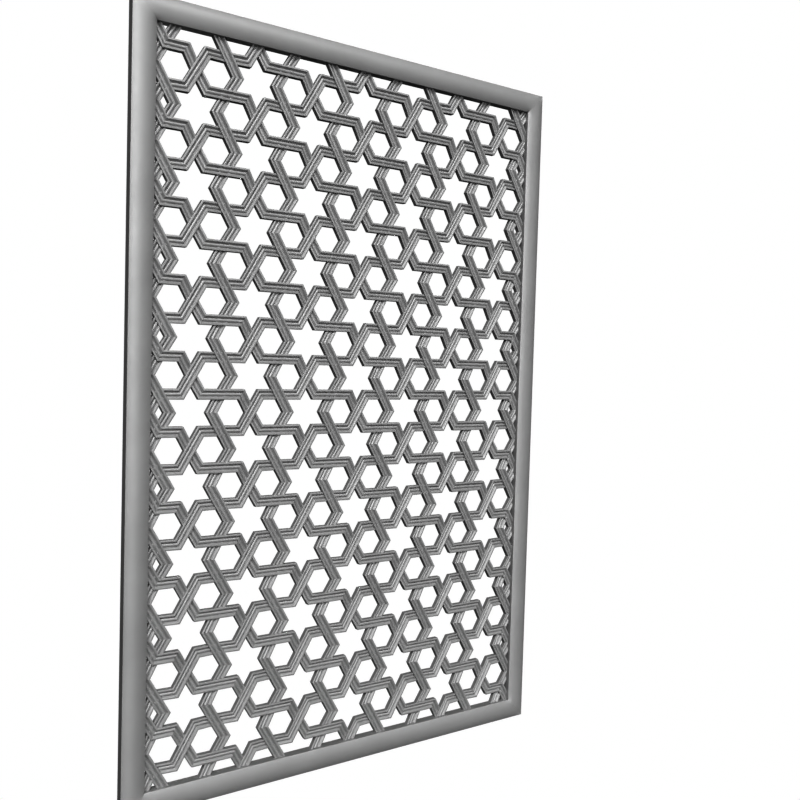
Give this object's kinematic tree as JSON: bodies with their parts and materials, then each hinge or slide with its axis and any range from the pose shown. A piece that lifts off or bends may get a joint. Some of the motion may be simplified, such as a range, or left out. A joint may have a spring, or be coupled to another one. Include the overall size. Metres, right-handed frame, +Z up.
{
  "type": "decorative grille",
  "caption": "Upright framed lattice screen: interlaced strands in a star-and-hexagon pattern, cast in one piece and held in a mitred frame with a rounded front.",
  "frame": {"origin": "middle of the top rail's flat back face", "axes": "+Z up along the panel's height, +Y out of its back towards what holds it, +X to the right seen from the front"},
  "size_m": [1.0412, 0.0268, 1.5902],
  "materials": {
    "lattice_coating": "satin grey coating on cast aluminium",
    "frame_coating": "satin grey coating on aluminium"
  },
  "bodies": {
    "root": {"lattice": "lattice_coating", "top_rail": "frame_coating", "bottom_rail": "frame_coating", "left_stile": "frame_coating", "right_stile": "frame_coating"}
  },
  "joints": []
}
